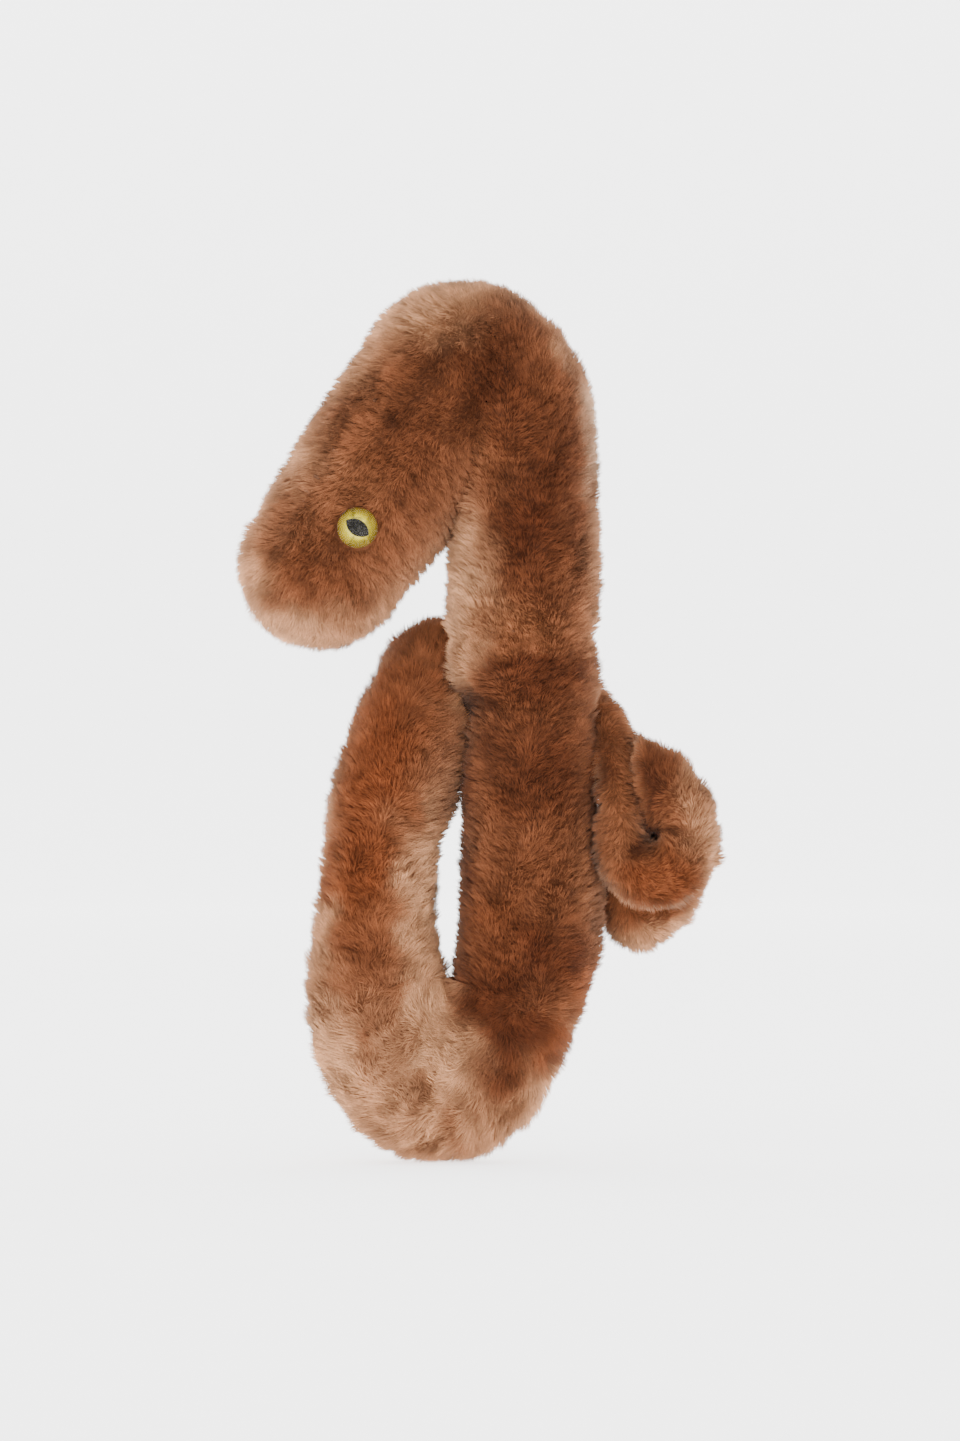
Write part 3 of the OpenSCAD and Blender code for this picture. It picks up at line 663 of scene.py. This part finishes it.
# The spaces that neighbours take up, as round-ended rods: two ends, radius, flattening
HEAD_ROOM = (CROWN, TIP, HEAD_R, HEAD_R / HEAD_DEPTH)
BALL_AT_WAIST = (WAIST, WAIST, 15.4)
COLUMN_ROOM = [(FOOT_BALL, np.array([20.0, 0, 90.4]), 13.8),
               (np.array([19.4, 0, 94.0]), WAIST, 14.8), BALL_AT_WAIST]
LOOP_ROOM = (np.array([-4.7, 2, 87.6]), LOOP_END, 9.8)
BALL_OF_CURL = (KNUCKLE, KNUCKLE, 6.6)
BRIDGE_ROOM = (np.array([28.5, 15.5, 90.0]), KNUCKLE, 6.0)


def every_cell(p):
    """No cell of the fabric is left out."""
    return np.ones(p.shape[:-1], bool)


def from_eyes(p):
    """Distance of points from the line through both eyes."""
    return np.hypot(p[..., 0] - EYE[0], p[..., 2] - EYE[2])


def off_eyes(p):
    """Cells away from the holes that the eyes' stems go through."""
    return from_eyes(p) > 1.8


def bare_under_eyes(p):
    """No lock grows under an eye's disc or just beside it."""
    return from_eyes(p) > 4.3


def roots_clear(spaces):
    """No lock grows deep inside a neighbour."""
    return lambda p: clearance(p, spaces) > -ROOTS_IN


def wanted(pile, lean, clump, spaces=(), shape=plain, cells=every_cell, keep=None):
    """What one section's pelt is like.

    pile is the locks' length, lean the share of it that lies over, and clump the distance
    between tufts. spaces are the neighbours', shape gives the dents, cells says which cells
    of fabric stay, and keep says where locks grow."""
    return {"pile": pile, "lean": lean, "clump": clump, "spaces": spaces, "shape": shape,
            "cells": cells, "keep": keep or roots_clear(spaces)}


def part_of(rings, first, last):
    """The rings from the first to the last, both included."""
    return [r[first:last + 1] for r in rings]


def ring_at(rings, height):
    """The ring of the loop's left side whose centre is nearest to a height."""
    z = np.where(rings[0][:, 0] < -5, rings[0][:, 2], 1e9)
    return int(np.argmin(np.abs(z - height)))


SPLIT_LOW, SPLIT_HIGH = ring_at(LOOP, 34.6), ring_at(LOOP, 55.6)
LAST = len(LOOP[0]) - 1
SECTIONS = [
    # name, paint, rings, body, slot, pile and shape, inset of the filling
    ("head", "head", HEAD, "head", "pile_brown",
     wanted(2.6, 0.55, 1.7, shape=head_shape, cells=off_eyes, keep=bare_under_eyes), 4.6),
    ("neck", "neck", NECK, "neck", "pile_brown",
     wanted(2.5, 0.55, 1.6, [HEAD_ROOM, BALL_AT_WAIST], waist_ring), 5.0),
    ("column", "column", COLUMN, "column", "pile_brown",
     wanted(2.6, 0.6, 1.6, shape=column_shape), 6.0),
    ("foot", "loop", part_of(LOOP, 0, SPLIT_LOW), "loop", "pile_tan",
     wanted(3.2, 0.75, 2.3, COLUMN_ROOM, loop_shape), 5.6),
    ("loop_lower", "loop", part_of(LOOP, SPLIT_LOW, SPLIT_HIGH), "loop", "pile_tan",
     wanted(3.0, 0.7, 2.0, COLUMN_ROOM, loop_shape), 5.2),
    ("loop_upper", "loop", part_of(LOOP, SPLIT_HIGH, LAST), "loop", "pile_brown",
     wanted(2.8, 0.6, 1.7, COLUMN_ROOM, loop_shape), 4.8),
    ("bridge", "bridge", BRIDGE, "column", "pile_brown",
     wanted(2.4, 0.55, 1.6, COLUMN_ROOM + [(LOOP_END, LOOP_END, 9.2), LOOP_ROOM]), 4.1),
    ("coil", "curl", COIL, "curl", "pile_brown",
     wanted(2.2, 0.55, 1.5, COLUMN_ROOM + [BALL_OF_CURL, BRIDGE_ROOM], curl_shape), 4.6),
    ("tail", "curl", TAIL, "curl", "pile_brown", wanted(2.2, 0.55, 1.5, shape=curl_shape), 4.6),
]


# Materials

class Nodes:
    """A material's node tree, built step by step."""

    def __init__(self, name):
        """A new material, its plain shader, and places on the object in metres."""
        self.mat = bpy.data.materials.new(name)
        self.mat.use_nodes = True
        self.tree = self.mat.node_tree
        self.shader = self.tree.nodes["Principled BSDF"]
        self.place = self.add("ShaderNodeTexCoord").outputs["Object"]

    def add(self, kind, **settings):
        """A new node with its settings."""
        node = self.tree.nodes.new(kind)
        for key, value in settings.items():
            setattr(node, key, value)
        return node

    def link(self, out, into):
        """Joins an output to an input."""
        self.tree.links.new(out, into)

    def noise(self, scale, detail=3.0, rough=0.55):
        """Noise that rides on the object, in patches of about one metre over the scale."""
        node = self.add("ShaderNodeTexNoise")
        node.inputs["Scale"].default_value = scale
        node.inputs["Detail"].default_value = detail
        node.inputs["Roughness"].default_value = rough
        self.link(self.place, node.inputs["Vector"])
        return node.outputs["Fac"]

    def ramp(self, value, stops):
        """Colours by a value: each stop is a place from 0 to 1 and its colour."""
        node = self.add("ShaderNodeValToRGB")
        ends = node.color_ramp.elements
        while len(ends) < len(stops):
            ends.new(0.5)
        for end, (at, colour) in zip(ends, stops):
            end.position = at
            end.color = (*colour, 1)
        self.link(value, node.inputs["Fac"])
        return node.outputs["Color"]

    def times(self, a, b):
        """Two colours multiplied."""
        node = self.add("ShaderNodeMix", data_type="RGBA", blend_type="MULTIPLY")
        node.inputs[0].default_value = 1.0
        self.link(a, node.inputs[6])
        self.link(b, node.inputs[7])
        return node.outputs[2]

    def bump(self, height, strength, distance):
        """Small relief on the shader, its distance in metres."""
        node = self.add("ShaderNodeBump")
        node.inputs["Strength"].default_value = strength
        node.inputs["Distance"].default_value = distance
        self.link(height, node.inputs["Height"])
        self.link(node.outputs["Normal"], self.shader.inputs["Normal"])

    def set(self, **values):
        """Sets the shader's plain values, named with _ for each space."""
        for key, value in values.items():
            self.shader.inputs[key.replace("_", " ")].default_value = value
        return self


def grey(v):
    """A grey of one value."""
    return (v, v, v)


def pile_material(name, root, bend, tip, sheen):
    """Locks darken to the root and lighten to the tip, partly tipped dye and partly painted shade
    down in the pile and painted highlight on the tips; the dye is a little uneven.
    """
    m = Nodes(name)
    dye = m.add("ShaderNodeAttribute", attribute_name="pile_colour").outputs["Color"]
    up = m.add("ShaderNodeAttribute", attribute_name="pile_tip").outputs["Fac"]
    # Root to tip: painted shade at the root and painted highlight at the tip, over the tipped dye
    shade = m.ramp(up, [(0.0, root), (0.5, bend), (1.0, tip)])
    patch = m.ramp(m.noise(210), [(0.3, grey(0.86)), (0.7, grey(1.1))])
    fleck = m.ramp(m.noise(1500, 2), [(0.35, grey(0.9)), (0.65, grey(1.08))])
    m.link(m.times(m.times(m.times(dye, shade), patch), fleck), m.shader.inputs["Base Color"])
    m.link(m.ramp(m.noise(900), [(0.3, grey(0.72)), (0.7, grey(0.95))]),
           m.shader.inputs["Roughness"])
    m.bump(m.noise(2600, 2), 0.35, 0.0003)
    return m.set(Sheen_Weight=sheen, Sheen_Roughness=0.45, Sheen_Tint=(1.0, 0.84, 0.7, 1),
                 Specular_IOR_Level=0.12).mat


def stuffing_material():
    """Polyester filling: pale fibres with deep, soft relief."""
    m = Nodes("polyester_stuffing")
    fibre = m.noise(420, 6, 0.7)
    m.link(m.ramp(fibre, [(0.3, (.66, .65, .62)), (0.7, (.9, .89, .87))]),
           m.shader.inputs["Base Color"])
    m.link(m.ramp(fibre, [(0.2, grey(0.85)), (0.8, grey(1.0))]), m.shader.inputs["Roughness"])
    m.bump(fibre, 0.9, 0.0015)
    return m.set(Sheen_Weight=0.3).mat


def thread_material():
    """Two-ply thread: a fine wave across each stitch darkens the valleys."""
    m = Nodes("sewing_thread")
    ply = m.add("ShaderNodeTexWave", wave_type="BANDS", bands_direction="DIAGONAL")
    ply.inputs["Scale"].default_value = 900
    ply.inputs["Distortion"].default_value = 1.5
    m.link(m.place, ply.inputs["Vector"])
    m.link(m.ramp(ply.outputs["Fac"], [(0, (.07, .03, .016)), (1, (.16, .075, .04))]),
           m.shader.inputs["Base Color"])
    m.link(m.ramp(m.noise(1200), [(0.3, grey(0.75)), (0.7, grey(0.95))]),
           m.shader.inputs["Roughness"])
    m.bump(ply.outputs["Fac"], 0.3, 0.0001)
    return m.set(Specular_IOR_Level=0.15).mat


def plastic_material(name, low, high, rough_low, rough_high, level=0.5):
    """Moulded plastic: faint mottling, fine scuffs in the gloss, a soft orange-peel surface."""
    m = Nodes(name)
    m.link(m.ramp(m.noise(260), [(0.3, low), (0.7, high)]), m.shader.inputs["Base Color"])
    scuff = m.noise(1900, 5, 0.7)
    m.link(m.ramp(scuff, [(0.4, grey(rough_low)), (0.75, grey(rough_high))]),
           m.shader.inputs["Roughness"])
    m.bump(m.noise(700), 0.08, 0.0002)
    return m.set(Specular_IOR_Level=level).mat


def clear_material():
    """The dome: see-through plastic, glossier where it is seen aslant, rubbed a little dull."""
    m = Nodes("clear_dome")
    m.tree.nodes.remove(m.shader)
    gloss = m.shader = m.add("ShaderNodeBsdfGlossy")
    clear = m.add("ShaderNodeBsdfTransparent")
    share = m.add("ShaderNodeFresnel")
    share.inputs["IOR"].default_value = 1.2
    both = m.add("ShaderNodeMixShader")
    m.link(m.ramp(m.noise(300), [(0.3, (.95, .93, .88)), (0.7, (.99, .98, .95))]),
           clear.inputs["Color"])
    m.link(m.ramp(m.noise(1400, 5, 0.7), [(0.4, grey(0.24)), (0.8, grey(0.34))]),
           gloss.inputs["Roughness"])
    m.bump(m.noise(900), 0.03, 0.0001)
    m.link(share.outputs[0], both.inputs[0])
    m.link(clear.outputs[0], both.inputs[1])
    m.link(gloss.outputs[0], both.inputs[2])
    m.link(both.outputs[0], m.tree.nodes["Material Output"].inputs["Surface"])
    return m.mat


def iris_material():
    """Yellow disc, lighter round the pupil and amber at its edge, with faint mottling.

    The ramp runs on the distance from the eye's middle line as a share of 4 mm."""
    m = Nodes("amber_disc")
    away = m.add("ShaderNodeVectorMath", operation="SUBTRACT")
    away.inputs[1].default_value = EYE * MM
    m.link(m.place, away.inputs[0])
    flat = m.add("ShaderNodeVectorMath", operation="MULTIPLY")
    flat.inputs[1].default_value = (250, 0, 250)
    m.link(away.outputs[0], flat.inputs[0])
    far = m.add("ShaderNodeVectorMath", operation="LENGTH")
    m.link(flat.outputs[0], far.inputs[0])
    colour = m.ramp(far.outputs["Value"], [(0.45, (.60, .54, .09)), (0.6, (.42, .35, .010)),
                                           (0.97, (.20, .12, .004))])
    mottle = m.ramp(m.noise(900), [(0.3, grey(0.88)), (0.7, grey(1.1))])
    m.link(m.times(colour, mottle), m.shader.inputs["Base Color"])
    m.link(m.ramp(m.noise(1900, 5, 0.7), [(0.4, grey(0.3)), (0.75, grey(0.45))]),
           m.shader.inputs["Roughness"])
    m.bump(m.noise(700), 0.08, 0.0002)
    return m.set(Specular_IOR_Level=0.1).mat


# Tip values above one brighten the tips past the dye: painted highlight
BROWN_PILE = pile_material("brown_pile", grey(0.6), grey(0.98), (1.28, 1.29, 1.32), 0.1)
TAN_PILE = pile_material("tan_pile", grey(0.66), grey(1.0), (1.2, 1.19, 1.19), 0.1)
STUFFING = stuffing_material()
THREAD = thread_material()
CLEAR = clear_material()
AMBER = iris_material()
BLACK = plastic_material("black_pupil", (.006, .006, .005), (.012, .011, .010), 0.3, 0.4, 0.15)
WHITE = plastic_material("white_washer", (.78, .78, .76), (.88, .88, .86), 0.45, 0.62)


def finish_with(ob, material):
    """Gives the whole object one material."""
    if ob.material_slots:
        for place in ob.material_slots:
            place.material = material
    else:
        ob.data.materials.append(material)


# The toy

def dented_for_eyes(p):
    """The filling's front and back are pressed in where the eyes' stems and washers sit."""
    near = from_eyes(p) < 7.5
    p = p.copy()
    p[near, 1] = np.clip(p[near, 1], -7.9, 7.9)
    return p


def sink_thread(node, body, axis, thin):
    """Stitches drawn down into the pile: each point moves in towards the tube's axis."""
    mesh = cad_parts[node].data
    p = np.empty(3 * len(mesh.vertices), np.float32)
    mesh.vertices.foreach_get("co", p)
    p = p.reshape(-1, 3) / MM
    a, way = axis[0], unit(axis[1] - axis[0])
    foot = a + ((p - a) @ way)[:, None] * way
    mesh.calc_loop_triangles()
    t = np.empty(3 * len(mesh.loop_triangles), np.int32)
    mesh.loop_triangles.foreach_get("vertices", t)
    ob = mesh_object(f"{node}_thread", foot + thin * (p - foot), t.reshape(-1, 3))
    finish_with(ob, THREAD)
    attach(ob, body)
    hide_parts(node)


# First and last ring of the fillings that stop short of an open end or a neighbour
FILLED = {"neck": (14, 36), "foot": (14, SPLIT_LOW - 1),
          "loop_lower": (1, SPLIT_HIGH - SPLIT_LOW - 1), "loop_upper": (1, 44), "bridge": (12, 54),
          "coil": (14, len(COIL[0]) - 18), "tail": (17, len(TAIL[0]) - 18)}
BENT = ("foot", "loop_lower", "coil", "tail")


def make_section(k, name, part, rings, body, slot, want, inset):
    """One stuffed section: its two pelts and its filling, riding their body."""
    pile = TAN_PILE if slot == "pile_tan" else BROWN_PILE
    for facing, side in ((-1, "front"), (1, "back")):
        ob = pelt(f"{name}_{side}_pelt", part, rings, facing, want, 100 * k + 7 * facing)
        finish_with(ob, pile)
        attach(ob, body)
        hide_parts(f"{name}_{side}_panel")
    whole = (0, len(rings[0]) - 1)
    p, t = solid_tube(part_of(rings, *FILLED.get(name, whole)), inset, name in BENT)
    p = pushed_out(p, want["spaces"], -1.0)
    if name == "head":
        p = dented_for_eyes(p)
    ob = mesh_object(f"{name}_filling", p, t)
    finish_with(ob, STUFFING)
    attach(ob, body)
    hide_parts(f"{name}_stuffing")


for number, section in enumerate(SECTIONS, 1):
    make_section(number, *section)

for side in ("front", "back"):
    for node, material in (("eye_dome", CLEAR), ("eye_iris", AMBER), ("eye_pupil", BLACK),
                           ("eye_washer", WHITE)):
        finish_with(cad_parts[f"{side}_{node}"], material)
# Threads: node, body, the axis they are drawn to, and their distance left as a share
for node, body, axis, thin in (("waist_stitches", "neck", (WAIST, WAIST + [0, 0, 9]), 0.85),
                               ("crossing_tack", "column", (FOOT_BALL, WAIST), 0.76),
                               ("closing_stitches", "head", (CROWN, TIP), 0.84)):
    sink_thread(node, body, axis, thin)


# Studio

def studio_sweep():
    """Floor and wall in one sheet: flat, then a quarter circle of 0.5 m, then upright."""
    t = np.linspace(0, math.pi / 2, 24)
    y = np.concatenate([[-2.5, -1.0, 0.0], 2.0 + 0.5 * np.sin(t), [2.5]])
    z = np.concatenate([[0.0, 0.0, 0.0], 0.5 - 0.5 * np.cos(t), [2.6]])
    n = len(y)
    pts = np.concatenate([np.stack([np.full(n, x), y, z], 1) for x in (-3.0, 3.0)]) / MM
    i = np.arange(n - 1)
    tris = np.concatenate([np.stack([i, i + n, i + 1], 1),
                           np.stack([i + 1, i + n, i + n + 1], 1)])
    ob = mesh_object("studio_sweep", pts, tris)
    m = Nodes("studio_paper")
    m.link(m.ramp(m.noise(60), [(0.3, grey(0.90)), (0.7, grey(0.93))]),
           m.shader.inputs["Base Color"])
    m.link(m.ramp(m.noise(90), [(0.3, grey(0.85)), (0.7, grey(0.95))]),
           m.shader.inputs["Roughness"])
    m.set(Emission_Color=(1, 1, 1, 1), Emission_Strength=2.0)
    finish_with(ob, m.mat)


def soft_light(name, at, size, power, colour=(1, 1, 1)):
    """A square soft box at a place, turned to the toy's middle."""
    lamp = bpy.data.lights.new(name, "AREA")
    lamp.shape, lamp.size, lamp.energy, lamp.color = "SQUARE", size, power, colour
    ob = bpy.data.objects.new(name, lamp)
    bpy.context.scene.collection.objects.link(ob)
    ob.location = at
    way = Vector((0.01, 0, 0.088)) - Vector(at)
    ob.rotation_euler = way.to_track_quat("-Z", "Y").to_euler()


studio_sweep()
soft_light("key", (-0.5, -1.2, 1.0), 0.8, 7, (1, 0.985, 0.96))
soft_light("front", (0.03, -1.5, 0.2), 0.14, 1.8)
soft_light("top", (0.0, 0.1, 1.2), 1.0, 3)
soft_light("rim_left", (-0.8, 0.5, 0.6), 0.7, 3)
soft_light("rim_right", (0.9, 0.4, 0.4), 0.7, 2)

world = bpy.data.worlds.new("studio_air")
world.use_nodes = True
world.node_tree.nodes["Background"].inputs["Color"].default_value = (1, 1, 1, 1)
world.node_tree.nodes["Background"].inputs["Strength"].default_value = 1.9
bpy.context.scene.world = world

camera = bpy.data.objects.new("camera", bpy.data.cameras.new("camera"))
bpy.context.scene.collection.objects.link(camera)
AWAY = 1.5              # from the camera to the toy's middle plane
FRAME_HEIGHT = 0.2882   # of the picture, at that plane
camera.location = (0.010, -AWAY, 0.0883)
camera.rotation_euler = (math.pi / 2, 0, 0)
camera.data.sensor_width = 36
camera.data.lens = 36 * AWAY / FRAME_HEIGHT
bpy.context.scene.camera = camera
